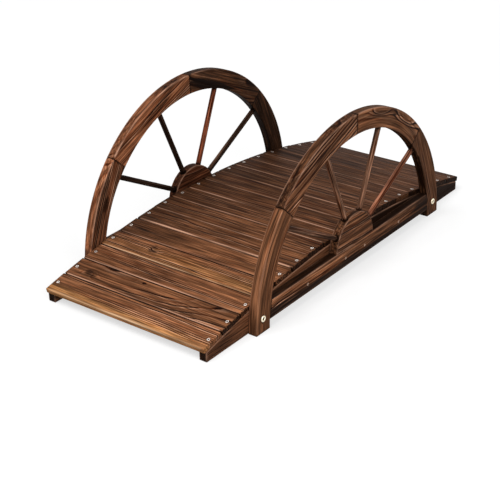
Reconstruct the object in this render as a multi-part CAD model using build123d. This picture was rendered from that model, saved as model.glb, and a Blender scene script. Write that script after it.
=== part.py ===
from build123d import *
import os
from math import asin, cos, degrees, radians, sin, sqrt, tan

# Garden footbridge: an arched board deck on two stringers, with half-wheel side rails.
# All lengths are in millimetres. X runs along the bridge, Y across it and Z up from the ground.

# Deck
deck_length = 1000
deck_end_height = 32.4
deck_crown_height = 93.3
board_count = 17
board_length = 430
board_thickness = 11.7
board_gap = 2
board_edge_ease = 1.4

# Stringers
stringer_thickness = 19
stringer_end_inset = 6.5
stringer_overhang = 1
stringer_edge_ease = 1.4

# Half wheels
rim_outer_radius = 361.5
rim_width = 46
rim_thickness = 21.4
rim_centre_drop = 1.5
rim_edge_ease = 1.6
felloe_joint_angle = 43
leg_trim_angle = 10

# Rails
rail_bottom = 19.5
rail_height = 41.5
rail_end_fit = 0.2
rail_edge_ease = 1.6

# Hubs and spokes
hub_radius = 72
hub_edge_ease = 1.6
spoke_diameter = 12.4
spoke_low_angle = 28.5
spoke_high_angle = 67
spoke_socket_depth = 14
spoke_socket_fit = 0.1
spoke_end_ease = 0.8

# Sizes that follow from those above
deck_rise = deck_crown_height - deck_end_height
deck_radius = ((deck_length / 2) ** 2 + deck_rise ** 2) / (2 * deck_rise)
deck_centre_height = deck_crown_height - deck_radius
arch_radius = deck_radius - board_thickness
deck_half_angle = asin(deck_length / 2 / deck_radius)
gap_angle = board_gap / deck_radius
board_pitch_angle = (2 * deck_half_angle + gap_angle) / board_count
board_width = 2 * deck_radius * tan((board_pitch_angle - gap_angle) / 2)
stringer_outer = board_length / 2 + stringer_overhang
stringer_middle = stringer_outer - stringer_thickness / 2
stringer_half_length = deck_length / 2 - stringer_end_inset
rim_inner_radius = rim_outer_radius - rim_width
rim_middle_radius = rim_outer_radius - rim_width / 2
wheel_middle = stringer_outer + rim_thickness / 2
rail_top = rail_bottom + rail_height
hub_above_ring = rail_top + rim_centre_drop
spoke_radius = spoke_diameter / 2
spoke_angles = (180 - spoke_low_angle, 180 - spoke_high_angle, spoke_high_angle, spoke_low_angle)


def arch_height(x):
    """Height of the stringers' arched top at a distance along the bridge."""
    return deck_centre_height + sqrt(arch_radius ** 2 - x ** 2)


def eased_section(width, height, ease):
    """A rectangular section with its corners planed off."""
    return chamfer(Rectangle(width, height).vertices(), ease)


def deck_board(index):
    """One eased board, flat and tangent to the arch at its own station."""
    angle = (index - (board_count - 1) / 2) * board_pitch_angle
    align_on_arch = (Align.CENTER, Align.CENTER, Align.MIN)
    board = Box(board_width, board_length, board_thickness, align=align_on_arch)
    board = chamfer(board.edges(), board_edge_ease)
    station = Pos(arch_radius * sin(angle), 0, deck_centre_height + arch_radius * cos(angle))
    return station * Rot(0, degrees(angle), 0) * board


def stringer():
    """A side beam with a flat foot and an arched top, centred on the middle plane."""
    end_height = arch_height(stringer_half_length)
    foot_front = (-stringer_half_length, 0)
    foot_rear = (stringer_half_length, 0)
    top_front = (-stringer_half_length, end_height)
    top_rear = (stringer_half_length, end_height)
    outline = Polyline(top_front, foot_front, foot_rear, top_rear)
    outline += ThreePointArc(top_rear, (0, arch_height(0)), top_front)
    beam = extrude(Plane.XZ * make_face(outline), stringer_thickness / 2, both=True)
    foot_edges = beam.edges().filter_by(Axis.X)
    end_edges = beam.edges().filter_by(Axis.Z)
    return chamfer(foot_edges + end_edges, stringer_edge_ease)


def spoke_line(angle):
    """The place of the hub centre, with Z turned along a spoke."""
    return Pos(0, 0, rail_top) * Rot(0, 90 - angle, 0)


def spoke_reach(angle):
    """Distance from the hub centre to the inside of the rim along a spoke."""
    turn = radians(angle)
    half_chord = sqrt(rim_inner_radius ** 2 - (hub_above_ring * cos(turn)) ** 2)
    return half_chord - hub_above_ring * sin(turn)


def spoke_rod(angle, radius, end_gap):
    """A round rod along a spoke, stopping short of both socket bottoms by end_gap."""
    start = hub_radius - spoke_socket_depth + end_gap
    end = spoke_reach(angle) + spoke_socket_depth - end_gap
    rod = Cylinder(radius, end - start, align=(Align.CENTER, Align.CENTER, Align.MIN))
    return spoke_line(angle) * Pos(0, 0, start) * rod


def spoke(angle):
    """A dowel with eased ends, seated in the hub and the rim."""
    rod = spoke_rod(angle, spoke_radius, spoke_socket_fit)
    return chamfer(rod.edges().filter_by(GeomType.CIRCLE), spoke_end_ease)


def cut_sockets(solid):
    """Bore the blind spoke sockets that reach into a rim piece or a hub."""
    for angle in spoke_angles:
        solid = solid - spoke_rod(angle, spoke_radius + spoke_socket_fit, 0)
    return solid


def felloe(start_angle, end_angle):
    """A mitred piece of the rim between two angles, trimmed level at the ground."""
    section = Pos(rim_middle_radius, 0, 0) * eased_section(rim_width, rim_thickness, rim_edge_ease)
    piece = revolve(section, Axis((0, 0, 0), (0, -1, 0)), end_angle - start_angle)
    piece = Pos(0, 0, -rim_centre_drop) * Rot(0, -start_angle, 0) * piece
    if start_angle < 0 or end_angle > 180:
        piece = split(piece, Plane.XY, keep=Keep.TOP)
    return cut_sockets(piece)


def rail():
    """The bar between the two feet, with its ends scribed to the inside of the rim."""
    section = Plane.YZ * eased_section(rim_thickness, rail_height, rail_edge_ease)
    bar = Pos(0, 0, rail_bottom + rail_height / 2) * extrude(section, rim_inner_radius, both=True)
    scribe = Rot(90, 0, 0) * Cylinder(rim_inner_radius - rail_end_fit, rim_thickness)
    return bar & Pos(0, 0, -rim_centre_drop) * scribe


def hub():
    """The half disc that stands on the rail, bored for the spokes."""
    disc = Rot(90, 0, 0) * Cylinder(hub_radius, rim_thickness)
    disc = chamfer(disc.edges().filter_by(GeomType.CIRCLE), hub_edge_ease)
    half = split(disc, Plane.XY, keep=Keep.TOP)
    return cut_sockets(Pos(0, 0, rail_top) * half)


def half_wheel():
    """Every piece of one half wheel by name, about the middle plane."""
    pieces = {
        "front_leg": felloe(180 - felloe_joint_angle, 180 + leg_trim_angle),
        "front_top": felloe(90, 180 - felloe_joint_angle),
        "rear_top": felloe(felloe_joint_angle, 90),
        "rear_leg": felloe(-leg_trim_angle, felloe_joint_angle),
        "rail": rail(),
        "hub": hub(),
    }
    for number, angle in enumerate(spoke_angles, start=1):
        pieces[f"spoke_{number}"] = spoke(angle)
    return pieces


def bridge():
    """Every node of the bridge by name."""
    nodes = {}
    for index in range(board_count):
        nodes[f"deck_board_{index + 1:02d}"] = deck_board(index)
    beam = stringer()
    wheel = half_wheel()
    for side, sign in (("left", 1), ("right", -1)):
        nodes[f"{side}_stringer"] = Pos(0, sign * stringer_middle, 0) * beam
        for name, piece in wheel.items():
            nodes[f"{side}_{name}"] = Pos(0, sign * wheel_middle, 0) * piece
    return nodes


os.makedirs("parts", exist_ok=True)
for name, solid in bridge().items():
    export_step(solid, f"parts/{name}.step")
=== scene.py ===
from dataclasses import dataclass
from math import acos, atan2, cos, hypot, pi, radians, sin

import bpy
import numpy as np
from mathutils import Matrix, Vector

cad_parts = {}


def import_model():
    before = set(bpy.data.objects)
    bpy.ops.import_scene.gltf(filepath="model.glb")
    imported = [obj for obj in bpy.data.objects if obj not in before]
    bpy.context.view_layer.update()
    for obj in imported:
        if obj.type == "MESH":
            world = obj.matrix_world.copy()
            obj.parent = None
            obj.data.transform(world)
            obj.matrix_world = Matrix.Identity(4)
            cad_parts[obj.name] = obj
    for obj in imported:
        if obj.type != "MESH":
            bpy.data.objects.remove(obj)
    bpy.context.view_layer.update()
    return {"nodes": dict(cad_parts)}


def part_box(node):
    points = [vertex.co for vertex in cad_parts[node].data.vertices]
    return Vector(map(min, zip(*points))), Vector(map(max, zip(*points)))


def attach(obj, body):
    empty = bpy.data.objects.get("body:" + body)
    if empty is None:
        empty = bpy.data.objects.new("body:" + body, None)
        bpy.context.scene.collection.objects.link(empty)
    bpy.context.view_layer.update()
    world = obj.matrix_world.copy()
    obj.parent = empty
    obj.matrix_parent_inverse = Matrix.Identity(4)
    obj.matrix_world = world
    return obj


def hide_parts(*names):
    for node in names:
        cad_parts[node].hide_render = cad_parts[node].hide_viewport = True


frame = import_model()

# An arched garden footbridge of scorched fir, with a spoked half wheel on each side.
# Lengths are in metres. X runs along the bridge, Y across it and Z up from the ground.

BODY = "root"
SIDES = ("left", "right")
MM = 0.001
BOARDS = sorted(name for name in frame["nodes"] if name.startswith("deck_board"))
MIDDLE_BOARD = BOARDS[len(BOARDS) // 2]

# Grid and edges of the wooden pieces
EASE = 1.9 * MM
JOINT_EASE = 0.5 * MM
EASE_SHARES = np.array((0, 0.3, 0.65))
FINE_STEP = 1.5 * MM
MID_STEP = 2.2 * MM
LONG_STEP = 5.5 * MM
BAR_STEPS = (LONG_STEP, MID_STEP, MID_STEP)
FELLOE_STEPS = (LONG_STEP, FINE_STEP, MID_STEP)
END_ZONE = 16 * MM

# Growth rings and the brushed relief that they leave
RELIEF = 0.25 * MM
GOLD_FADE = 18 * MM
EDGE_RELIEF = 0.25
NOISE_SHIFT = 5
OUTER_BOLD_LOSS = 0.85

# Char, darker ends and painted shade: how far each reaches, and how thick it is where it is not full
# How far the darkening of sawn ends reaches.
END_DARKENING = 3 * MM
RIM_SOOT = 4 * MM
HUB_SOOT = 3.5 * MM
SPOKE_SOOT = 8 * MM
# The deck screw and leg bolt rings are painted shadow; the rim's inner face and the rail's foot get painted
# shade.
BOLT_SHADOW_WIDTH = 2.2 * MM
DECK_SCREW_SHADOW = 0.6
INNER_RIM_SHADE = 0.65
RAIL_FOOT_SHADE = 0.85

# Dished seats round the spokes at the hubs, and the sides of a spoke
HUB_DISH_WIDTH = 1.6 * MM
HUB_DISH_DEPTH = 3 * MM
SPOKE_SIDES = 32

# Fasteners
DECK_SCREW_RADIUS = 3.6 * MM
DECK_SCREW_INSET = 10 * MM
DECK_SCREW_SEAT = 0.5 * MM
RAIL_SCREW_RADIUS = 2.9 * MM
RAIL_SCREW_PLACES = (0.038, 0.182)
LEG_BOLT_RADIUS = 7 * MM
LEG_BOLT_HEIGHT = 32 * MM
HEAD_DEPTH = 2 * MM
SCREW_GRID = 17
BOLT_GRID = 35

# Seeds of the random draws
DECK_SEED = 11
FASTENER_SEED = 23
BOARD_WOOD_SEED = 100
SPOKE_WOOD_SEED = 300


# Sizes read from the frame


def size_of(node):
    """Lengths of a node's box."""
    low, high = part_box(node)
    return high - low


def middle_of(node):
    """Middle of a node's box."""
    low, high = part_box(node)
    return (low + high) / 2


def arc_of_boards():
    """Radius and centre height of the arc through the middles of the deck boards."""
    end, crown = middle_of(BOARDS[0]), middle_of(MIDDLE_BOARD)
    rise = crown.z - end.z
    radius = (end.x ** 2 + rise ** 2) / (2 * rise)
    return radius, crown.z - radius


DECK_RADIUS, DECK_CENTRE_Z = arc_of_boards()
BOARD_WIDTH, BOARD_LENGTH, BOARD_THICK = size_of(MIDDLE_BOARD)
ARCH_RADIUS = DECK_RADIUS - BOARD_THICK / 2
RIM_OUTER = -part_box("right_front_leg")[0].x
RIM_CENTRE_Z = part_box("right_front_top")[1].z - RIM_OUTER
JOINT_ANGLE = acos(-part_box("right_front_top")[0].x / RIM_OUTER)
RIM_INNER = (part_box("right_front_top")[0].z - RIM_CENTRE_Z) / sin(JOINT_ANGLE)
RIM_MIDDLE = (RIM_OUTER + RIM_INNER) / 2
RIM_THICK = size_of("right_front_top").y
RAIL_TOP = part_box("right_rail")[1].z
HUB_RADIUS = size_of("right_hub").x / 2
SPOKE_RADIUS = size_of("right_spoke_1").y / 2
SPOKE_NAMES = tuple(f"spoke_{number}" for number in (1, 2, 3, 4))
SPOKE_ANGLES = tuple(
    atan2(middle_of(f"right_{name}").z - RAIL_TOP, middle_of(f"right_{name}").x) for name in SPOKE_NAMES
)


def smooth(share):
    """A share from 0 to 1, with a soft start and stop."""
    share = np.clip(share, 0, 1)
    return share * share * (3 - 2 * share)


# Blanks: the skins of the wooden pieces, before they get their grain


@dataclass
class Blank:
    """A piece's skin, and what its timber needs to know at each point.

    fibre is the place along, across and through the grain. edge and end are the distances from the
    nearest edge and sawn end. The other three are shares from 0 to 1: char with painted shade, rubbed
    edges with a painted highlight, and the curved outside, which gets painted light and shade.
    """

    points: np.ndarray
    faces: list
    fibre: np.ndarray
    edge: np.ndarray
    end: np.ndarray
    scorch_and_shade: float | np.ndarray = 0.0
    worn_and_glint: float | np.ndarray = 0.45
    outer: float | np.ndarray = 0.0


def marks(half, step, ease, end_step=None):
    """Grid positions from -half to half, close over the eased ends and finer near them if asked."""
    curve = ease * EASE_SHARES
    start = half - ease
    if end_step is None:
        inner = np.linspace(-start, start, max(2, round(2 * half / step)))
    else:
        zone = np.linspace(start, start - END_ZONE, round(END_ZONE / end_step), endpoint=False)
        middle = np.linspace(END_ZONE - start, start - END_ZONE, round(2 * half / step))
        inner = np.concatenate([-zone, middle, zone[::-1]])
    return np.concatenate([curve - half, inner, half - curve[::-1]])


def skin(counts):
    """Grid indices of the points on the outside of a block, and the quads between them."""
    grid = np.indices(counts).reshape(3, -1).T
    on_skin = ((grid == 0) | (grid == np.array(counts) - 1)).any(axis=1)
    ids = np.full(len(grid), -1)
    ids[on_skin] = np.arange(on_skin.sum())
    ids = ids.reshape(counts)
    quads = []
    for axis in range(3):
        for end in (0, -1):
            sheet = np.take(ids, end, axis=axis)
            corners = (sheet[:-1, :-1], sheet[1:, :-1], sheet[1:, 1:], sheet[:-1, 1:])
            sheet_quads = np.stack(corners, axis=-1).reshape(-1, 4)
            faces_in = (end == 0) != (axis == 1)
            quads.append(sheet_quads[:, ::-1] if faces_in else sheet_quads)
    return grid[on_skin], np.concatenate(quads).tolist()


def block(sides):
    """Points on the skin of a block with the given grid marks along its three sides, and its quads."""
    grid, quads = skin(tuple(len(side) for side in sides))
    return np.stack([side[grid[:, axis]] for axis, side in enumerate(sides)], axis=1), quads


def bar(half, steps):
    """The skin of a block of the given half lengths, with its own grid step along each side."""
    return block([marks(length, step, EASE) for length, step in zip(half, steps)])


def side_gaps(points, low, high):
    """Distance from the nearest edge, and from the nearest sawn end, on the skin of a block."""
    gaps = np.sort(np.concatenate([(points - low).T, (high - points).T]), axis=0)
    return gaps[1], np.minimum(points[:, 0] - low[..., 0], high[..., 0] - points[:, 0])


def rounded(points, low, high, ease):
    """Points of a sharp block moved onto the same block with eased edges."""
    core = np.clip(points, low + ease, high - ease)
    away = (points - core) / ease
    reach = np.maximum(np.linalg.norm(away, axis=1, keepdims=True), 1)
    return core + ease * away / reach


def board_blank(name, lift, shift):
    """A deck board, flat and square to the arch at its own place.

    Its front arris is paler, partly rubbed and partly a painted highlight, while its rear one and its front
    face, in the joints, carry painted shade.
    """
    half = np.array((BOARD_LENGTH, BOARD_WIDTH, BOARD_THICK)) / 2
    points, quads = block([
        marks(half[0], LONG_STEP, EASE, FINE_STEP),
        marks(half[1], FINE_STEP, EASE),
        marks(half[2], MID_STEP, EASE),
    ])
    edge, end = side_gaps(points, -half, half)
    points = rounded(points, -half, half, EASE)
    screw_gap = np.hypot(np.abs(points[:, 0]) - half[0] + DECK_SCREW_INSET, points[:, 1])
    sunk = DECK_SCREW_SEAT * smooth((1.7 * DECK_SCREW_RADIUS - screw_gap) / DECK_SCREW_RADIUS)
    # A dark ring round each screw head is painted shadow.
    scorch_and_shade = DECK_SCREW_SHADOW * smooth((2 * DECK_SCREW_RADIUS - screw_gap) / DECK_SCREW_RADIUS)
    along, across, through = points.T
    raised = through - sunk * (through > 0) + lift
    # The rear arris, and the front face in the joint on all but the nose board, carry painted shade.
    scorch_and_shade = np.maximum(scorch_and_shade, smooth((1.7 * EASE - across - half[1]) / (1.2 * EASE)))
    if name != BOARDS[0]:
        on_front = smooth((across - half[1] + 0.5 * EASE) / (0.5 * EASE))
        scorch_and_shade = np.maximum(scorch_and_shade, on_front * smooth((half[2] - 0.6 * EASE - through) / (0.4 * EASE)))
    # The front arris is paler: partly rubbed, partly a painted highlight.
    worn_and_glint = smooth(across / EASE) * smooth((end - 2 * EASE) / (4 * EASE)) * smooth(through / EASE)
    place = middle_of(name)
    tilt = atan2(place.x, place.z - DECK_CENTRE_Z)
    x = place.x - across * cos(tilt) + raised * sin(tilt)
    z = place.z + across * sin(tilt) + raised * cos(tilt)
    world = np.stack([x, place.y + along + shift, z], axis=1)
    return Blank(world, quads, points, edge, end, scorch_and_shade, worn_and_glint)


def stringer_blank(name):
    """A side beam with a flat foot and an arched top."""
    size, place = size_of(name), middle_of(name)
    half = np.array((size.x, size.z, size.y)) / 2
    points, quads = bar(half, BAR_STEPS)
    top = DECK_CENTRE_Z + np.sqrt(ARCH_RADIUS ** 2 - points[:, 0] ** 2)
    inner = np.clip(points[:, 1], EASE - half[1], half[1] - EASE)
    share = (inner + half[1] - EASE) / (size.z - 2 * EASE)
    points[:, 1] += EASE - inner + share * (top - 2 * EASE)
    low = np.stack([0 * top - half[0], 0 * top, 0 * top - half[2]], axis=1)
    high = np.stack([0 * top + half[0], top, 0 * top + half[2]], axis=1)
    edge, end = side_gaps(points, low, high)
    points = rounded(points, low, high, EASE)
    x, z, y = points.T
    return Blank(np.stack([x, place.y - y, z], axis=1), quads, points, edge, end)


def rail_blank(name):
    """The bar between the feet of a half wheel, its ends scribed to the rim.

    It is darker on top, and below a slanting line its sides carry painted shade that deepens downwards.
    """
    size, place = size_of(name), middle_of(name)
    half = np.array((size.x, size.z, size.y)) / 2
    points, quads = bar(half, BAR_STEPS)
    edge, end = side_gaps(points, -half, half)
    points = rounded(points, -half, half, np.array((JOINT_EASE, EASE, EASE)))
    x, z, y = points.T
    reach = np.sqrt(RIM_INNER ** 2 - (place.z + z - RIM_CENTRE_Z) ** 2)
    world = np.stack([x * reach / reach.max(), place.y - y, place.z + z], axis=1)
    # The top face is darkened; the sides get painted shade below a slanting line, deepest at the foot.
    on_top = smooth((z - half[1] + 0.4 * EASE) / (0.4 * EASE))
    scorch_and_shade = np.maximum(on_top, RAIL_FOOT_SHADE * smooth((-0.05 - 0.2 * x / half[0] - z / half[1]) / 0.3))
    # The edges are paler, most on the upper half: partly rubbed, partly a painted highlight.
    worn_and_glint = (0.2 + 0.4 * smooth(z / EASE)) * smooth((end - EASE) / (2 * EASE))
    return Blank(world, quads, points, edge, end, scorch_and_shade, worn_and_glint)


def felloe_blank(name, start, stop, bend):
    """A piece of the rim between two angles from +X, level at the ground where it is a leg.

    Its grain runs straight where bend is 0, and follows the curve where bend is 1.
    """
    place = middle_of(name)
    half = np.array(((stop - start) * RIM_MIDDLE, RIM_OUTER - RIM_INNER, RIM_THICK)) / 2
    points, quads = bar(half, FELLOE_STEPS)
    edge, end = side_gaps(points, -half, half)
    points = rounded(points, -half, half, np.array((JOINT_EASE, EASE, EASE)))
    arc, across, through = points.T
    radius = RIM_MIDDLE + across
    ground = np.arcsin(-RIM_CENTRE_Z / radius)
    first = ground if start <= 0 else start
    last = pi - ground if stop >= pi else stop
    angle = first + (arc / half[0] + 1) / 2 * (last - first)
    x, z = radius * np.cos(angle), radius * np.sin(angle)
    world = np.stack([x, place.y + through, RIM_CENTRE_Z + z], axis=1)
    middle = (start + stop) / 2
    straight_along = z * cos(middle) - x * sin(middle)
    straight_across = x * cos(middle) + z * sin(middle) - RIM_MIDDLE
    straight = np.stack([straight_along, straight_across, through], axis=1)
    fibre = (1 - bend) * straight + bend * points
    scorch_and_shade = np.zeros(len(x))
    for spoke_angle in SPOKE_ANGLES:
        beside = (world[:, 2] - RAIL_TOP) * cos(spoke_angle) - x * sin(spoke_angle)
        gap = np.hypot(beside, through) - SPOKE_RADIUS
        scorch_and_shade = np.maximum(scorch_and_shade, (across < 0) * smooth(1 - gap / RIM_SOOT))
    # outer marks the curved outside, which gets painted light and shade and weaker rings.
    outer = smooth((across - half[1] + EASE) / EASE)
    inner = smooth((EASE - across - half[1]) / EASE)
    # The rim's inner face is darkened with painted shade.
    scorch_and_shade = np.maximum(scorch_and_shade, INNER_RIM_SHADE * inner)
    # A dark ring round each leg bolt, on the outside, is painted shadow.
    bolt_gap = np.hypot(np.abs(x) - RIM_MIDDLE, world[:, 2] - LEG_BOLT_HEIGHT) - LEG_BOLT_RADIUS
    on_outside = through * place.y > 0
    scorch_and_shade = np.maximum(scorch_and_shade, on_outside * smooth(1.3 - bolt_gap / BOLT_SHADOW_WIDTH))
    # The edges are paler, most on the outside: partly rubbed, partly a painted highlight.
    worn_and_glint = (0.1 + 0.5 * smooth(across / EASE)) * smooth((end - EASE) / (2 * EASE))
    return Blank(world, quads, fibre, edge, end, scorch_and_shade, worn_and_glint, outer)


def hub_blank(name):
    """The half disc on the rail, with its curved edges eased and dished round the spokes."""
    place, half = middle_of(name), RIM_THICK / 2
    across = marks(HUB_RADIUS, 0.75 * MID_STEP, EASE) / HUB_RADIUS
    upright = np.concatenate([[0], across[across > 0.5 * FINE_STEP / HUB_RADIUS]])
    points, quads = block([across, upright, marks(half, MID_STEP, EASE)])
    u, v, y = points.T
    x = HUB_RADIUS * u * np.sqrt(1 - v ** 2 / 2)
    z = HUB_RADIUS * v * np.sqrt(1 - u ** 2 / 2)
    radius = np.maximum(np.hypot(x, z), EASE)
    round_points = np.stack([radius, y], axis=1)
    limits = np.array((HUB_RADIUS, half))
    eased = rounded(round_points, -limits, limits, EASE)
    edge = np.max(limits - np.abs(round_points), axis=1)
    scorch_and_shade = np.zeros(len(x))
    sunk = np.zeros(len(x))
    for angle in SPOKE_ANGLES:
        beside = np.hypot(z * cos(angle) - x * sin(angle), y)
        near = (x * cos(angle) + z * sin(angle)) > 0
        gap = beside - SPOKE_RADIUS
        sunk = np.maximum(sunk, near * HUB_DISH_DEPTH * smooth(1 - gap / HUB_DISH_WIDTH))
        scorch_and_shade = np.maximum(scorch_and_shade, near * smooth(1 - gap / HUB_SOOT))
    # on_rim marks the curved edge: it bounds the darkening round the spokes and takes painted light and shade
    # as the outside.
    on_rim = smooth((eased[:, 0] - HUB_RADIUS + 2 * EASE) / EASE)
    share = (eased[:, 0] - sunk * on_rim) / radius
    fibre = np.stack([x * share, z * share, eased[:, 1]], axis=1)
    world = np.stack([fibre[:, 0], place.y - fibre[:, 2], RAIL_TOP + fibre[:, 1]], axis=1)
    return Blank(world, quads, fibre, edge, np.full(len(x), HUB_RADIUS), scorch_and_shade * on_rim, outer=on_rim)


def spoke_blank(name):
    """A round dowel from its socket in the hub to its socket in the rim, darker where it enters them."""
    place, size = middle_of(name), size_of(name)
    angle = atan2(place.z - RAIL_TOP, place.x)
    length = (size.x - 2 * SPOKE_RADIUS * abs(sin(angle))) / abs(cos(angle))
    socket = HUB_RADIUS + length / 2 - hypot(place.x, place.z - RAIL_TOP)
    stations = np.linspace(-length / 2, length / 2, round(length / MID_STEP))
    turn = np.arange(SPOKE_SIDES) * 2 * pi / SPOKE_SIDES
    along = np.repeat(stations, SPOKE_SIDES)
    across = SPOKE_RADIUS * np.tile(np.cos(turn), len(stations))
    through = SPOKE_RADIUS * np.tile(np.sin(turn), len(stations))
    ids = np.arange(len(along)).reshape(len(stations), SPOKE_SIDES)
    beside = np.roll(ids, -1, axis=1)
    corners = (ids[:-1], beside[:-1], beside[1:], ids[1:])
    faces = np.stack(corners, axis=-1).reshape(-1, 4).tolist()
    faces += [ids[0, ::-1].tolist(), ids[-1].tolist()]
    x = place.x + along * cos(angle) - across * sin(angle)
    z = place.z + along * sin(angle) + across * cos(angle)
    world = np.stack([x, place.y - through, z], axis=1)
    end = length / 2 - np.abs(along)
    scorch_and_shade = np.exp(-np.maximum(end - socket, 0) / SPOKE_SOOT)
    fibre = np.stack([along, across, through], axis=1)
    return Blank(world, faces, fibre, np.full(len(along), SPOKE_RADIUS), end, scorch_and_shade)


# Wood: growth rings, knots and tone of one piece


@dataclass
class Wood:
    """How a piece was sawn from its log, how dark it was scorched, and how rubbed its edges are with a
    painted highlight.

    pith, lean and meander place the log's heart across and through the grain, and pitch is a ring's width.
    A knot is (along, across, radius, darkness). A swell, which bends the rings, and a scar, a darker patch,
    are (along, across, half length, half width, amount). light falls by fade from one end to the other, and
    on a curved outside it is times outer, which paints that face lighter or darker as painted light and
    shade. gold starts at gold_from across the grain, and below zero it is rust. bold strengthens the dark
    rings and calm evens out the streaks. bend is how far the grain follows a curve, and ends is how dark
    the sawn ends are.
    """

    seed: int
    pith: tuple
    pitch: float
    lean: tuple = (0.0, 0.0)
    meander: float = 3 * MM
    knots: tuple = ()
    swells: tuple = ()
    light: float = 1.0
    fade: float = 0.0
    char: float = 0.4
    gold: float = 0.0
    gold_from: float = -1.0
    wear_and_glint_width: float = EASE
    worn_and_glint: float = 1.0
    bold: float = 1.0
    calm: float = 0.0
    outer: float = 1.0
    bend: float = 0.0
    ends: float = 0.85
    scars: tuple = ()


# Waves of the pith along the log, as lengths and shares
MEANDERS = ((0.42, 1.0), (0.17, 0.4), (0.071, 0.12))

# How far a knot bends the rings, how long and soft its heart is and how far a scar reaches, in own sizes
KNOT_LONG = 2.6
KNOT_WIDE = 1.5
KNOT_RISE = 1.6
HEART_LONG = 1.5
HEART_FALL = 1.6
SCAR_REACH = 1.5

# Shares of a ring over which its late growth rises and falls
RING_RISE = 0.8
RING_FALL = 0.2


def growth_radius(fibre, wood):
    """Distance from the pith at every point, bent by the log's meander and pushed out by knots and swells."""
    rng = np.random.default_rng(wood.seed)
    along, across, through = fibre.T
    offsets = []
    for place, pith, lean in zip((across, through), wood.pith, wood.lean):
        wave = 0 * along
        for length, share in MEANDERS:
            wave = wave + share * np.sin(2 * pi * along / length + rng.uniform(0, 2 * pi))
        offsets.append(place - pith - lean * along - wood.meander * wave)
    radius = np.hypot(*offsets)
    for knot_along, knot_across, knot_radius, _ in wood.knots:
        reach = np.hypot((along - knot_along) / KNOT_LONG, (across - knot_across) / KNOT_WIDE) / knot_radius
        radius = radius + KNOT_RISE * knot_radius * np.exp(-reach ** 2)
    for swell_along, swell_across, long, wide, rise in wood.swells:
        reach = np.hypot((along - swell_along) / long, (across - swell_across) / wide)
        radius = radius + rise * np.exp(-reach ** 2)
    return radius


def knot_depth(fibre, wood):
    """How dark the heart of each knot is, falling to zero at its edge."""
    depth = np.zeros(len(fibre))
    for along, across, radius, dark in wood.knots:
        reach = np.hypot((fibre[:, 0] - along) / HEART_LONG, fibre[:, 1] - across) / radius
        depth = np.maximum(depth, dark * smooth(HEART_FALL - HEART_FALL * reach))
    return depth


def scar_depth(fibre, wood):
    """How black each scorched patch is, falling to zero at its edge."""
    depth = np.zeros(len(fibre))
    for along, across, long, wide, dark in wood.scars:
        reach = np.hypot((fibre[:, 0] - along) / long, (fibre[:, 1] - across) / wide)
        depth = np.maximum(depth, dark * smooth(SCAR_REACH - reach))
    return depth


def latewood(phase):
    """Height of the hard late growth within a ring: a slow rise and a quick fall."""
    part = phase - np.floor(phase)
    return smooth(part / RING_RISE) * smooth((1 - part) / RING_FALL)


def add_values(mesh, name, values):
    """Store one number, or one vector, for every point of a mesh."""
    values = np.ascontiguousarray(values, dtype=np.float32)
    kind, field = ("FLOAT", "value") if values.ndim == 1 else ("FLOAT_VECTOR", "vector")
    mesh.attributes.new(name, kind, "POINT").data.foreach_set(field, values.ravel())


def timber(name, blank, wood, material):
    """A wooden piece that stands for a CAD node: its mesh, relief, grain values and finish."""
    mesh = bpy.data.meshes.new(name)
    mesh.from_pydata(blank.points.tolist(), [], blank.faces)
    mesh.update()
    normals = np.empty(len(blank.points) * 3, dtype=np.float32)
    mesh.vertex_normals.foreach_get("vector", normals)
    rings = growth_radius(blank.fibre, wood) / wood.pitch
    inside = EDGE_RELIEF + (1 - EDGE_RELIEF) * smooth(blank.edge / (3 * EASE))
    lift = RELIEF * (latewood(rings) - 1) * inside
    points = blank.points + normals.reshape(-1, 3) * lift[:, None]
    mesh.vertices.foreach_set("co", points.astype(np.float32).ravel())
    zeros = np.zeros(len(rings))
    rng = np.random.default_rng(wood.seed)
    gold = wood.gold * smooth((blank.fibre[:, 1] - wood.gold_from) / GOLD_FADE)
    add_values(mesh, "rings", rings)
    add_values(mesh, "fibre", blank.fibre + rng.uniform(-NOISE_SHIFT, NOISE_SHIFT, 3))
    along = blank.fibre[:, 0]
    share = (along - along.min()) / np.ptp(along)
    # On the curved outside, outer scales the light: painted light and shade on that face.
    light = wood.light * (1 - wood.fade * share) * (1 + (wood.outer - 1) * blank.outer)
    # Sawn ends and scars are darkened, and the blank's share adds char and painted shade.
    scorch_and_shade = np.maximum(wood.ends * np.exp(-blank.end / END_DARKENING), scar_depth(blank.fibre, wood))
    # The edge share pales each arris: partly rubbed wood, partly a painted highlight.
    add_values(mesh, "edge", wood.worn_and_glint * blank.worn_and_glint * np.exp(-((blank.edge / wood.wear_and_glint_width) ** 2)))
    add_values(mesh, "bold", zeros + wood.bold * (1 - OUTER_BOLD_LOSS * blank.outer))
    add_values(mesh, "calm", zeros + wood.calm)
    add_values(mesh, "knot", knot_depth(blank.fibre, wood))
    add_values(mesh, "scorch_and_shade", np.maximum(scorch_and_shade, blank.scorch_and_shade))
    add_values(mesh, "tone", np.stack([light, zeros + wood.char, gold], axis=1))
    finish_piece(name + "_timber", mesh, material, replaced=name)


def finish_piece(name, mesh, material, replaced=None):
    """Put a mesh into the scene as a smooth piece of the bridge."""
    mesh.polygons.foreach_set("use_smooth", np.ones(len(mesh.polygons), dtype=bool))
    mesh.update()
    mesh.materials.append(material)
    piece = bpy.data.objects.new(name, mesh)
    bpy.context.scene.collection.objects.link(piece)
    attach(piece, BODY)
    if replaced:
        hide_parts(replaced)


# Materials


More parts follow.
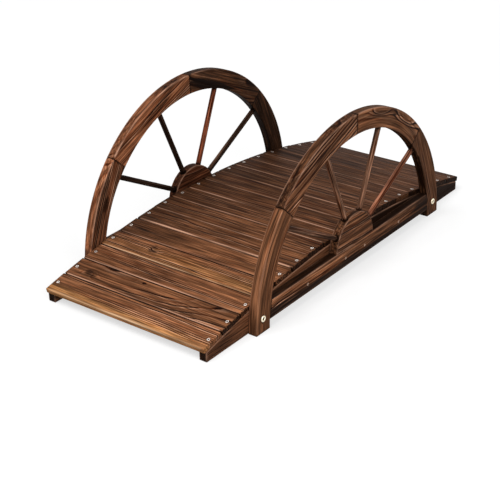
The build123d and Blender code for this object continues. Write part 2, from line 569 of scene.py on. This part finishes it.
class Graph:
    """Short calls for building a material's nodes."""

    def __init__(self, name):
        self.material = bpy.data.materials.new(name)
        self.material.use_nodes = True
        self.tree = self.material.node_tree
        self.shader = self.tree.nodes["Principled BSDF"]

    def put(self, socket, value):
        if isinstance(value, bpy.types.NodeSocket):
            self.tree.links.new(value, socket)
        else:
            socket.default_value = value

    def add(self, kind, **inputs):
        node = self.tree.nodes.new(kind)
        for key, value in inputs.items():
            self.put(node.inputs[key.replace("_", " ")], value)
        return node

    def read(self, name, output="Fac"):
        node = self.add("ShaderNodeAttribute")
        node.attribute_name = name
        return node.outputs[output]

    def math(self, operation, a, b=0.0):
        node = self.add("ShaderNodeMath")
        node.operation = operation
        self.put(node.inputs[0], a)
        self.put(node.inputs[1], b)
        return node.outputs[0]

    def scaled(self, vector, scale):
        node = self.add("ShaderNodeVectorMath")
        node.operation = "SCALE"
        self.put(node.inputs[0], vector)
        self.put(node.inputs["Scale"], scale)
        return node.outputs[0]

    def tinted(self, colour, tint):
        node = self.add("ShaderNodeVectorMath")
        node.operation = "MULTIPLY"
        self.put(node.inputs[0], colour)
        node.inputs[1].default_value = tint
        return node.outputs[0]

    def noise(self, vector, scale, detail=2.0, rough=0.5):
        """Noise with its own scale along, across and through the grain."""
        node = self.add("ShaderNodeTexNoise", Vector=self.tinted(vector, scale), Scale=1.0, Detail=detail,
                        Roughness=rough)
        return node.outputs[0]

    def chance(self, number):
        node = self.add("ShaderNodeTexWhiteNoise")
        node.noise_dimensions = "1D"
        self.put(node.inputs["W"], number)
        return node.outputs["Value"]

    def span(self, value, low, high, to_low=0.0, to_high=1.0):
        limits = dict(From_Min=low, From_Max=high, To_Min=to_low, To_Max=to_high)
        node = self.add("ShaderNodeMapRange", Value=value, **limits)
        node.interpolation_type = "SMOOTHSTEP"
        return node.outputs[0]

    def ramp(self, value, stops):
        node = self.add("ShaderNodeValToRGB", Fac=value)
        line = node.color_ramp
        while len(line.elements) < len(stops):
            line.elements.new(0.5)
        for element, (place, level) in zip(line.elements, stops):
            element.position = place
            element.color = (level, level, level, 1)
        return node.outputs[0]

    def mix(self, share, a, b):
        node = self.add("ShaderNodeMix")
        node.data_type = "RGBA"
        colours = [socket for socket in node.inputs if socket.type == "RGBA"]
        self.put(node.inputs[0], share)
        for socket, value in zip(colours, (a, b)):
            self.put(socket, value if isinstance(value, bpy.types.NodeSocket) else (*value, 1))
        return next(socket for socket in node.outputs if socket.type == "RGBA")

    def bump(self, height, strength, depth):
        node = self.add("ShaderNodeBump", Height=height, Strength=strength, Distance=depth)
        self.put(self.shader.inputs["Normal"], node.outputs[0])


# Early wood, pale and deep
DECK_EARLY = (0.30, 0.122, 0.053)
DECK_DEEP = (0.195, 0.075, 0.033)
FRAME_EARLY = (0.30, 0.124, 0.057)
FRAME_DEEP = (0.124, 0.050, 0.023)
SPOKE_EARLY = (0.28, 0.143, 0.088)
SPOKE_DEEP = (0.127, 0.062, 0.037)

# What all the wood shares, and the painted shade in the fasteners' recesses
# Colour of the glow after each late ring, partly paler wood and partly a painted highlight.
PALE = (0.46, 0.24, 0.145)
WARM = (0.6, 0.4, 0.28)
GOLD = (0.55, 0.26, 0.09)
RUST = (0.42, 0.10, 0.042)
# Near black, for char and for painted shade.
LATE = (0.012, 0.0026, 0.0007)
SOOT_AND_SHADE = (0.006, 0.0022, 0.0010)
# Colours of the paler arrises: partly rubbed wood, partly a painted highlight.
WORN_AND_GLINT = (0.74, 0.40, 0.26)
WORN_GOLD_AND_GLINT = (0.88, 0.60, 0.33)
KNOT = (0.012, 0.0046, 0.0026)
RECESS_SHADE_COLOUR = (0.02, 0.012, 0.007)

# Noises of the wood, each with its scale along, across and through the grain
WAVER = dict(scale=(6, 70, 70), detail=3)
PATCH = dict(scale=(3, 30, 30))
FINE = dict(scale=(20, 1100, 1100))
STREAK = dict(scale=(4, 130, 130), detail=3, rough=0.6)
LINE = dict(scale=(7, 240, 240), rough=0.6)
DASH = dict(scale=(16, 420, 420), rough=0.6)
CLOUD = dict(scale=(6, 22, 22), detail=3, rough=0.55)
RIDGE = dict(scale=(2.2, 105, 105), detail=1)
# Breaks up the paler arrises, which are partly rubbed and partly a painted highlight.
RUB_AND_GLINT_NOISE = dict(scale=(8, 90, 90))

# The dark late growth, and the pale glow after it, through one ring. The glow is partly paler wood and partly
# a painted highlight on the ridge.
LATE_STOPS = ((0.0, 0.0), (0.56, 0.0), (0.74, 0.9), (0.93, 1.0), (1.0, 0.0))
GLOW_STOPS = ((0.0, 0.6), (0.08, 1.0), (0.22, 0.8), (0.46, 0.0), (1.0, 0.0))

# Noises of the plating on the fasteners
PLATE_PATCH = dict(scale=(420, 420, 420), detail=3)
PLATE_GRAIN = dict(scale=(1500, 1500, 1500))


def scorched_fir(name, early, deep):
    """Brushed fir: dark late growth, fine fibres, scorched clouds, painted shade, edges paled by rubbing and
    a painted highlight.
    """
    g = Graph(name)
    fibre = g.read("fibre", "Vector")
    tone = g.add("ShaderNodeSeparateXYZ", Vector=g.read("tone", "Vector"))
    light, char, gold = tone.outputs
    waver = g.noise(fibre, **WAVER)
    phase = g.math("ADD", g.read("rings"), g.math("MULTIPLY", waver, 0.5))
    part = g.math("FRACT", phase)
    late = g.ramp(part, LATE_STOPS)
    glow = g.ramp(part, GLOW_STOPS)
    chance = g.chance(g.math("FLOOR", g.math("SUBTRACT", phase, 0.5)))
    patchy = g.span(g.noise(fibre, **PATCH), 0.4, 0.62, 0.15, 1.25)
    strength = g.math("MULTIPLY", g.read("bold"), g.span(chance, 0.25, 1, 0.15, 1.5))
    patchy = g.math("MULTIPLY", patchy, strength)
    late = g.math("MULTIPLY", late, patchy)
    glow = g.math("MULTIPLY", glow, patchy)
    fine = g.noise(fibre, **FINE)
    streak = g.noise(fibre, **STREAK)
    line = g.noise(fibre, **LINE)
    dash = g.noise(fibre, **DASH)
    cloud = g.noise(fibre, **CLOUD)
    ridge = g.math("ABSOLUTE", g.math("SUBTRACT", g.noise(fibre, **RIDGE), 0.5))
    hair = g.math("MULTIPLY", g.span(ridge, 0.0, 0.045, 0.9, 0.0), g.span(cloud, 0.3, 0.6, 0.25, 0.85))
    calm = g.read("calm")
    hair = g.math("MULTIPLY", hair, g.span(calm, 0, 1, 1, 0))
    plain = tuple(np.add(deep, early) / 2)
    early = g.mix(calm, g.mix(g.span(streak, 0.38, 0.62), deep, early), plain)
    early = g.mix(g.math("MULTIPLY", gold, g.span(cloud, 0.3, 0.6, 0.3, 1.0)), early, GOLD)
    early = g.mix(g.math("MULTIPLY", gold, -1.0), early, RUST)
    # The glow after each late ring is partly paler wood and partly a painted highlight.
    early = g.mix(g.math("MULTIPLY", glow, 0.5), early, PALE)
    dark = g.math("MINIMUM", g.math("MAXIMUM", late, hair), 0.97)
    early = g.mix(g.span(dark, 0.0, 0.6), early, g.tinted(early, WARM))
    colour = g.mix(g.span(dark, 0.3, 1.0), early, LATE)
    shade = g.math("MULTIPLY", g.span(fine, 0.25, 0.75, 0.6, 1.35), g.span(dash, 0.36, 0.64, 0.54, 1.46))
    shade = g.math("MULTIPLY", shade, g.span(line, 0.34, 0.66, 0.46, 1.49))
    shade = g.math("MULTIPLY", shade, g.span(streak, 0.36, 0.64, 0.88, 1.12))
    shade = g.math("POWER", shade, g.span(calm, 0, 1, 1, 0.75))
    colour = g.scaled(colour, g.math("MULTIPLY", shade, light))
    # Char clouds and the share of char and painted shade darken the colour towards near black.
    torn = g.math("ADD", g.read("scorch_and_shade"), g.span(line, 0.3, 0.7, -0.3, 0.3))
    soot_and_shade = g.math("MULTIPLY", g.span(cloud, 0.44, 0.7), char)
    soot_and_shade = g.math("MAXIMUM", soot_and_shade, g.span(torn, 0.3, 0.75))
    soot_and_shade = g.math("MULTIPLY", soot_and_shade, g.span(fine, 0.3, 0.75, 0.99, 0.93))
    colour = g.mix(soot_and_shade, colour, SOOT_AND_SHADE)
    colour = g.mix(g.read("knot"), colour, KNOT)
    # Arrises are paler: partly rubbed wood, partly a painted highlight.
    worn_and_glint = g.math("MULTIPLY", g.read("edge"), g.span(g.noise(fibre, **RUB_AND_GLINT_NOISE), 0.35, 0.65, 0.2, 1.0))
    colour = g.mix(worn_and_glint, colour, g.mix(gold, WORN_AND_GLINT, WORN_GOLD_AND_GLINT))
    g.put(g.shader.inputs["Base Color"], colour)
    g.put(g.shader.inputs["Roughness"], g.span(streak, 0.3, 0.7, 0.68, 0.52))
    g.shader.inputs["Specular IOR Level"].default_value = 0.03
    height = g.math("ADD", g.math("MULTIPLY", late, 0.6), g.math("MULTIPLY", fine, 0.5))
    g.bump(height, strength=0.5, depth=0.4 * MM)
    return g.material


def metal(name, colour, rough, stain):
    """A plated fastener, browner in patches, with painted shade in its recess."""
    g = Graph(name)
    place = g.add("ShaderNodeTexCoord").outputs["Object"]
    patch = g.noise(place, **PLATE_PATCH)
    # The recess gets painted shade: near black, rough and not metallic.
    recess_shade = g.read("recess_shade")
    plate = g.mix(g.span(patch, 0.45, 0.75, 0, 0.7), colour, stain)
    g.put(g.shader.inputs["Base Color"], g.mix(recess_shade, plate, RECESS_SHADE_COLOUR))
    roughness = g.span(patch, 0.35, 0.7, rough, rough + 0.2)
    g.put(g.shader.inputs["Roughness"], g.math("MAXIMUM", roughness, recess_shade))
    g.put(g.shader.inputs["Metallic"], g.math("SUBTRACT", 1.0, recess_shade))
    g.bump(g.noise(place, **PLATE_GRAIN), strength=0.1, depth=0.2 * MM)
    return g.material


# The timber of each piece

DECK_WOOD = scorched_fir("deck_wood", DECK_EARLY, DECK_DEEP)
FRAME_WOOD = scorched_fir("frame_wood", FRAME_EARLY, FRAME_DEEP)
SPOKE_WOOD = scorched_fir("spoke_wood", SPOKE_EARLY, SPOKE_DEEP)


# Boards with a look of their own, by number from the front
# Width of the nose's pale front edge, partly rubbed and partly a painted highlight.
NOSE_WEAR_AND_GLINT_WIDTH = 3.4 * MM
FRONT_PITCH = 4.5 * MM
BOARD_CUTS = {
    1: dict(
        light=1.3, gold=0.6, gold_from=0.0, char=0.1, pith=(-0.13, -0.03), pitch=FRONT_PITCH,
        wear_and_glint_width=NOSE_WEAR_AND_GLINT_WIDTH, worn_and_glint=1.0, bold=1.7, calm=0.5, ends=0.35,
    ),
    2: dict(
        light=0.92, fade=0.25, pith=(-0.03, -0.05), lean=(0, 0.07), pitch=FRONT_PITCH,
        worn_and_glint=1.2, bold=1.7, calm=0.5,
        knots=((0.03, -0.02, 0.005, 0.0), (0.166, 0.003, 0.009, 0.7)),
        scars=((0.158, 0.004, 0.020, 0.016, 0.44),),
    ),
    3: dict(
        light=1.05, fade=0.2, char=0.25, pith=(-0.1, -0.03), pitch=FRONT_PITCH,
        worn_and_glint=1.2, bold=2.1, calm=0.5, ends=0.66,
    ),
    4: dict(
        light=1.05, fade=0.15, char=0.2, gold=0.4, gold_from=-0.02, pitch=FRONT_PITCH,
        worn_and_glint=1.2, bold=2.1, calm=0.5,
        knots=((0.085, 0.0, 0.006, 0.85),),
        scars=((0.094, -0.004, 0.008, 0.018, 0.45),),
    ),
    5: dict(
        light=1.25, fade=0.65, char=0.45, pitch=FRONT_PITCH, bold=1.7, calm=0.5, ends=0.6,
        scars=((0.11, 0.0, 0.09, 0.03, 0.45),),
    ),
    6: dict(light=0.76, fade=0.5, char=0.35, wear_and_glint_width=2.4 * MM, worn_and_glint=1.5, bold=0.9, calm=0.5),
    13: dict(char=0.2, ends=0.3),
}

# How the boards differ: one stands proud, and the deck darkens towards its far end
PROUD_BOARD = 6
PROUD_LIFT = 0.9 * MM
BOARD_UNEVEN = 0.3
BOARD_STAGGER = 1.6 * MM
BOARD_LIGHT_AT = (6, 9, 11, 17)
BOARD_LIGHTS = (0.76, 0.54, 0.46, 0.36)


def deck():
    """The boards, each from its own part of a log. Gives each one's lift and shift for its screws."""
    rng = np.random.default_rng(DECK_SEED)
    moves = {}
    for number, name in enumerate(BOARDS, start=1):
        far = number / len(BOARDS)
        pith = (rng.choice((-1, 1)) * rng.uniform(0.05, 0.14), -rng.uniform(0.01, 0.06))
        looks = dict(
            pith=pith,
            pitch=rng.uniform(5, 7.5) * MM,
            lean=(rng.uniform(-0.04, 0.04), rng.uniform(-0.04, 0.04)),
            meander=rng.uniform(1.0, 3.0) * MM,
            light=np.interp(number, BOARD_LIGHT_AT, BOARD_LIGHTS) + rng.uniform(-0.04, 0.04),
            fade=0.45,
            char=rng.uniform(0.2, 0.4),
            worn_and_glint=rng.uniform(0.85, 1.15) - 0.65 * far,
            wear_and_glint_width=1.5 * MM,
            bold=rng.uniform(0.6, 1.0),
            ends=0.74,
            calm=0.4,
        )
        looks.update(BOARD_CUTS.get(number, {}))
        lift = PROUD_LIFT if number == PROUD_BOARD else rng.uniform(-BOARD_UNEVEN, BOARD_UNEVEN) * MM
        shift = rng.uniform(-BOARD_STAGGER, BOARD_STAGGER)
        wood = Wood(seed=BOARD_WOOD_SEED + number, **looks)
        timber(name, board_blank(name, lift, shift), wood, DECK_WOOD)
        moves[name] = lift, shift
    return moves


# Angles from +X between which each felloe lies
FELLOES = {
    "front_leg": (pi - JOINT_ANGLE, pi),
    "front_top": (pi / 2, pi - JOINT_ANGLE),
    "rear_top": (JOINT_ANGLE, pi / 2),
    "rear_leg": (0, JOINT_ANGLE),
}

# Seed, pith and ring pitch of each piece, then its looks
# outer scales the light on a piece's curved outside: painted light and shade on that face.
FRAME_CUTS = {
    "left_front_leg": Wood(
        201, (-0.14, 0.02), 5 * MM, light=1.0, fade=0.4, char=0.45, gold=-0.1, outer=2.0, worn_and_glint=1.0,
        bold=4.0, bend=0.2, calm=0.4, scars=((-0.03, -0.003, 0.022, 0.010, 0.7),),
    ),
    "left_front_top": Wood(
        202, (0.12, 0.03), 5 * MM, lean=(0.02, 0), light=1.6, fade=-0.5, char=0.4, gold=-0.1, outer=0.47,
        wear_and_glint_width=2.4 * MM, worn_and_glint=1.8, bold=4.0, calm=0.4,
        scars=((0.0, -0.002, 0.09, 0.013, 0.5), (-0.10, 0.014, 0.06, 0.010, 0.6)),
    ),
    "left_rear_top": Wood(
        203, (0.01, 0.035), 8 * MM, light=0.46, char=0.5, outer=0.3, bold=1.3, worn_and_glint=0.7,
        scars=((0.05, -0.02, 0.085, 0.012, 1.2),),
    ),
    "left_rear_leg": Wood(204, (0.1, 0.02), 6 * MM, light=0.3, char=0.6, outer=0.95, bold=0.5, worn_and_glint=0.3),
    "right_front_leg": Wood(
        211, (0.04, 0.2), 4.5 * MM, light=1.45, fade=0.3, char=0.25, outer=0.76, bold=0.4, worn_and_glint=0.45,
        bend=1, calm=0.5,
    ),
    "right_front_top": Wood(
        212, (0.12, 0.03), 8 * MM, lean=(0.06, 0.03), light=1.0, char=0.6, outer=0.4, bold=3.5,
    ),
    "right_rear_top": Wood(
        213, (-0.004, 0.06), 3 * MM, meander=1 * MM, light=1.1, char=0.7, outer=0.3, bold=3.2,
        bend=1, calm=0.8,
        swells=((0.050, 0.014, 0.036, 0.011, 0.008), (-0.068, 0.014, 0.040, 0.012, 0.008)),
        scars=((-0.012, 0.016, 0.012, 0.010, 0.6),),
    ),
    "right_rear_leg": Wood(
        214, (-0.1, 0.03), 6 * MM, light=0.62, char=0.45, outer=0.75, bold=0.4, worn_and_glint=0.4, calm=0.8,
    ),
    "left_rail": Wood(221, (0.09, 0.03), 7 * MM, light=0.5, char=0.6),
    "left_hub": Wood(222, (-0.06, 0.03), 6 * MM, light=0.48, char=0.6, gold=-0.35, outer=0.45),
    "left_stringer": Wood(223, (0.12, 0.03), 7 * MM, light=0.4, char=0.5),
    # Its fade and its scar darken it towards the far end.
    "right_rail": Wood(
        231, (0.11, -0.01), 8 * MM, light=1.36, fade=0.6, char=0.3, bold=1.8,
        scars=((0.3, 0.0, 0.06, 0.04, 0.6),),
    ),
    "right_hub": Wood(232, (-0.08, -0.03), 5 * MM, light=0.8, char=0.3, outer=0.59, bold=1.6),
    # Its first scar darkens most of its far half.
    "right_stringer": Wood(
        233, (0.14, -0.03), 6 * MM, light=0.78, char=0.45, gold=-0.06, bold=0.2, calm=1,
        scars=((0.34, 0.05, 0.27, 0.12, 1.4), (-0.47, 0.0, 0.07, 0.2, 0.4)),
    ),
}

SPOKE_PITH = (0.02, 0.03)
SPOKE_PITCH = 3 * MM
SPOKE_MEANDER = 1 * MM
SPOKE_CUTS = {
    "left_spoke_1": dict(light=0.17, char=0.7),
    "left_spoke_2": dict(light=0.15, char=0.7),
    "left_spoke_3": dict(light=0.8, char=0.15, gold=-0.8, bold=4.0),
    "left_spoke_4": dict(light=0.26, char=0.4),
    "right_spoke_1": dict(light=0.8, char=0.85, bold=3.0),
    "right_spoke_2": dict(light=1.5, fade=0.4, char=0.5, bold=2.2),
    "right_spoke_3": dict(light=2.05, fade=0.45, char=0.35, bold=3.0),
    "right_spoke_4": dict(light=0.85, char=0.25, gold=-0.3, bold=4.0),
}


def half_wheel(side):
    """The rim, rail, hub, stringer and spokes of one side."""
    for part, (start, stop) in FELLOES.items():
        name = f"{side}_{part}"
        wood = FRAME_CUTS[name]
        timber(name, felloe_blank(name, start, stop, wood.bend), wood, FRAME_WOOD)
    for part, shape in (("rail", rail_blank), ("hub", hub_blank), ("stringer", stringer_blank)):
        name = f"{side}_{part}"
        timber(name, shape(name), FRAME_CUTS[name], FRAME_WOOD)
    for number, part in enumerate(SPOKE_NAMES):
        name = f"{side}_{part}"
        seed = SPOKE_WOOD_SEED + number
        wood = Wood(seed, SPOKE_PITH, SPOKE_PITCH, meander=SPOKE_MEANDER, **SPOKE_CUTS[name])
        timber(name, spoke_blank(name), wood, SPOKE_WOOD)


# Fasteners


def disc_block(radius, count, shape):
    """A round head: a grid bent to a disc, with a shaped top and a flat underside.

    shape holds two functions, for the top's height and for how much painted shade its recess gets.
    """
    top, recess_shading = shape
    side = np.linspace(-1, 1, count)
    points, quads = block([side, side, np.array((0.0, 1.0))])
    u, v, level = points.T
    x = radius * u * np.sqrt(1 - v ** 2 / 2)
    y = radius * v * np.sqrt(1 - u ** 2 / 2)
    z = np.where(level > 0, top(x, y), -HEAD_DEPTH)
    # The recess of the top is marked for painted shade.
    recess_shade = (level > 0) * recess_shading(x, y)
    return np.stack([x, y, z], axis=1), quads, recess_shade


def screw_top(radius):
    """A slightly domed countersunk head with a cross recess."""
    slot, arm, wall = 0.16 * radius, 0.62 * radius, 0.12 * radius
    dome, recess = 0.14 * radius, 0.5 * radius

    def cross(x, y):
        return np.maximum(
            smooth((slot + wall - np.abs(x)) / wall) * smooth((arm + wall - np.abs(y)) / wall),
            smooth((slot + wall - np.abs(y)) / wall) * smooth((arm + wall - np.abs(x)) / wall),
        )

    def height(x, y):
        reach = np.hypot(x, y) / radius
        return dome * (1 - reach ** 2) - recess * cross(x, y) * (1 - 0.5 * reach)

    return height, cross


def bolt_top(radius):
    """A flat flanged head with a rounded rim and a hexagon socket."""
    socket, wall, rise, recess = 0.46 * radius, 0.06 * radius, 0.24 * radius, 0.35 * radius
    flat_share, rim_share = 0.8, 0.2

    def hexagon(x, y):
        turns = np.arange(3) * pi / 3
        flats = np.max([np.abs(x * cos(turn) + y * sin(turn)) for turn in turns], axis=0)
        return smooth((socket + wall - flats) / wall)

    def height(x, y):
        reach = np.hypot(x, y) / radius
        over_rim = np.clip((reach - flat_share) / rim_share, 0, 1)
        rim = np.sqrt(np.clip(1 - over_rim ** 2, 0, 1))
        return rise * rim - recess * hexagon(x, y)

    return height, hexagon


def joined_heads(name, head, places, material):
    """Many like heads as one piece. A place is a point, an outward direction and a turn."""
    points, quads, recess_shade = head
    all_points, all_quads = [], []
    for place, outward, turn in places:
        outward = Vector(outward)
        matrix = Matrix.Translation(place) @ outward.to_track_quat("Z", "Y").to_matrix().to_4x4()
        matrix = np.array(matrix @ Matrix.Rotation(turn, 4, "Z"))
        all_quads.append(np.array(quads) + len(all_points) * len(points))
        all_points.append(points @ matrix[:3, :3].T + matrix[:3, 3])
    mesh = bpy.data.meshes.new(name)
    mesh.from_pydata(np.concatenate(all_points).tolist(), [], np.concatenate(all_quads).tolist())
    add_values(mesh, "recess_shade", np.tile(recess_shade, len(all_points)))
    finish_piece(name, mesh, material)


def deck_screw_places(rng, moves):
    """A screw at each end of every board, square to it."""
    for name, (lift, shift) in moves.items():
        place = middle_of(name) + Vector((0, shift, 0))
        outward = Vector((place.x, 0, place.z - DECK_CENTRE_Z)).normalized()
        rise = BOARD_THICK / 2 - DECK_SCREW_SEAT + lift
        for sign in (-1, 1):
            across = Vector((0, sign * (BOARD_LENGTH / 2 - DECK_SCREW_INSET), 0))
            yield place + across + outward * rise, outward, rng.uniform(0, pi)


def wheel_places(rng, stations, height):
    """Points at one height on the outsides of both half wheels, either side of the middle."""
    for side, sign in (("left", 1), ("right", -1)):
        face = middle_of(f"{side}_rail").y + sign * RIM_THICK / 2
        for station in stations:
            for end in (-1, 1):
                yield Vector((end * station, face, height)), (0, sign, 0), rng.uniform(0, pi)


STEEL = dict(colour=(0.95, 0.86, 0.79), rough=0.3, stain=(0.6, 0.45, 0.36))
BRONZE = dict(colour=(0.5, 0.34, 0.25), rough=0.4, stain=(0.16, 0.1, 0.07))
BRASS = dict(colour=(0.97, 0.88, 0.68), rough=0.28, stain=(0.8, 0.64, 0.4))


def fasteners(moves):
    """Screws at the board ends and on the rails, and the bolts through the legs."""
    rng = np.random.default_rng(FASTENER_SEED)
    steel = metal("screw_steel", **STEEL)
    bronze = metal("screw_bronze", **BRONZE)
    brass = metal("bolt_brass", **BRASS)
    deck_head = disc_block(DECK_SCREW_RADIUS, SCREW_GRID, screw_top(DECK_SCREW_RADIUS))
    joined_heads("deck_screws", deck_head, deck_screw_places(rng, moves), steel)
    rail_head = disc_block(RAIL_SCREW_RADIUS, SCREW_GRID, screw_top(RAIL_SCREW_RADIUS))
    rail_places = wheel_places(rng, RAIL_SCREW_PLACES, middle_of("right_rail").z)
    joined_heads("rail_screws", rail_head, rail_places, bronze)
    bolt_head = disc_block(LEG_BOLT_RADIUS, BOLT_GRID, bolt_top(LEG_BOLT_RADIUS))
    bolt_places = wheel_places(rng, [RIM_MIDDLE], LEG_BOLT_HEIGHT)
    joined_heads("leg_bolts", bolt_head, bolt_places, brass)


board_moves = deck()
for side in SIDES:
    half_wheel(side)
fasteners(board_moves)


# Stage, light and camera


def seen_directly(tree):
    """One for rays from the camera and from polished or clear surfaces, which show the backdrop too."""
    path = tree.nodes.new("ShaderNodeLightPath")
    share = path.outputs["Is Camera Ray"]
    for kind in ("Is Glossy Ray", "Is Transmission Ray"):
        either = tree.nodes.new("ShaderNodeMath")
        either.operation = "MAXIMUM"
        tree.links.new(share, either.inputs[0])
        tree.links.new(path.outputs[kind], either.inputs[1])
        share = either.outputs[0]
    return share


FLOOR_REACH = 30.0
FLOOR_GREY = (0.3, 0.3, 0.3)
FLOOR_GREY_SEEN = (0.44, 0.44, 0.44)
FLOOR_GLOW = 0.64
DARK_HALF_WIDTH = (0.18, 0.205)
DARK_HALF_LENGTH = (0.40, 0.455)


def floor():
    """A pale floor that goes white in the picture, keeps the soft shadow and is dark under the deck."""
    mesh = bpy.data.meshes.new("floor")
    signs = ((-1, -1), (1, -1), (1, 1), (-1, 1))
    corners = [(x * FLOOR_REACH, y * FLOOR_REACH, 0) for x, y in signs]
    mesh.from_pydata(corners, [], [(0, 1, 2, 3)])
    g = Graph("floor_paper")
    tree = g.tree
    seen = seen_directly(tree)
    paper = tree.nodes.new("ShaderNodeBsdfDiffuse")
    g.put(paper.inputs["Color"], g.mix(seen, FLOOR_GREY, FLOOR_GREY_SEEN))
    glow = tree.nodes.new("ShaderNodeEmission")
    place = g.add("ShaderNodeSeparateXYZ", Vector=g.add("ShaderNodeTexCoord").outputs["Object"])
    beside = g.span(g.math("ABSOLUTE", place.outputs["Y"]), *DARK_HALF_WIDTH)
    beyond = g.span(g.math("ABSOLUTE", place.outputs["X"]), *DARK_HALF_LENGTH)
    open_floor = g.math("MULTIPLY", g.math("MAXIMUM", beside, beyond), FLOOR_GLOW)
    g.put(glow.inputs["Strength"], g.math("MULTIPLY", seen, open_floor))
    both = tree.nodes.new("ShaderNodeAddShader")
    tree.links.new(paper.outputs[0], both.inputs[0])
    tree.links.new(glow.outputs[0], both.inputs[1])
    one_sided = tree.nodes.new("ShaderNodeMixShader")
    tree.links.new(tree.nodes.new("ShaderNodeNewGeometry").outputs["Backfacing"], one_sided.inputs[0])
    tree.links.new(both.outputs[0], one_sided.inputs[1])
    tree.links.new(tree.nodes.new("ShaderNodeBsdfTransparent").outputs[0], one_sided.inputs[2])
    tree.links.new(one_sided.outputs[0], tree.nodes["Material Output"].inputs["Surface"])
    mesh.materials.append(g.material)
    plane = bpy.data.objects.new("floor", mesh)
    bpy.context.scene.collection.objects.link(plane)


WORLD_LIGHT = 0.3
WORLD_SEEN = 1.0


def world():
    """Even studio light from all round, white where it is seen directly."""
    sky = bpy.data.worlds.new("studio")
    bpy.context.scene.world = sky
    sky.use_nodes = True
    tree = sky.node_tree
    backdrop = tree.nodes["Background"]
    backdrop.inputs["Color"].default_value = (1, 1, 1, 1)
    strength = tree.nodes.new("ShaderNodeMix")
    strength.inputs["A"].default_value = WORLD_LIGHT
    strength.inputs["B"].default_value = WORLD_SEEN
    tree.links.new(seen_directly(tree), strength.inputs["Factor"])
    tree.links.new(strength.outputs["Result"], backdrop.inputs["Strength"])


def lamp(name, kind, place, aim, **settings):
    """A lamp at a place, turned towards a point."""
    light = bpy.data.lights.new(name, kind)
    for key, value in settings.items():
        setattr(light, key, value)
    piece = bpy.data.objects.new(name, light)
    piece.location = place
    piece.rotation_euler = (Vector(aim) - Vector(place)).to_track_quat("-Z", "Y").to_euler()
    bpy.context.scene.collection.objects.link(piece)


CAMERA_PLACE = (-2.0381, -1.5341, 1.2788)
CAMERA_AZIMUTH = radians(-52.05)
CAMERA_ELEVATION = radians(27.05)
CAMERA_ROLL = radians(-1.578)
CAMERA_LENS = 88.85
CAMERA_SENSOR = 36


def camera():
    """The photograph's own viewpoint."""
    eye = bpy.data.objects.new("camera", bpy.data.cameras.new("camera"))
    eye.data.lens = CAMERA_LENS
    eye.data.sensor_width = CAMERA_SENSOR
    level = cos(CAMERA_ELEVATION)
    back = Vector((sin(CAMERA_AZIMUTH) * level, -cos(CAMERA_AZIMUTH) * level, sin(CAMERA_ELEVATION)))
    turn = Matrix.Rotation(CAMERA_ROLL, 4, "Z")
    facing = back.to_track_quat("Z", "Y").to_matrix().to_4x4()
    eye.matrix_world = Matrix.Translation(CAMERA_PLACE) @ facing @ turn
    bpy.context.scene.collection.objects.link(eye)
    bpy.context.scene.camera = eye


floor()
world()
lamp("key", "SUN", place=(-1.3, 0.4, 2.5), aim=(0, 0, 0), energy=1.8, angle=radians(42))
lamp("fill", "AREA", place=(-1.2, -2.6, 1.6), aim=(0, 0, 0.1), energy=34, shape="DISK", size=2.0)
camera()
bpy.context.scene.view_settings.view_transform = "Standard"
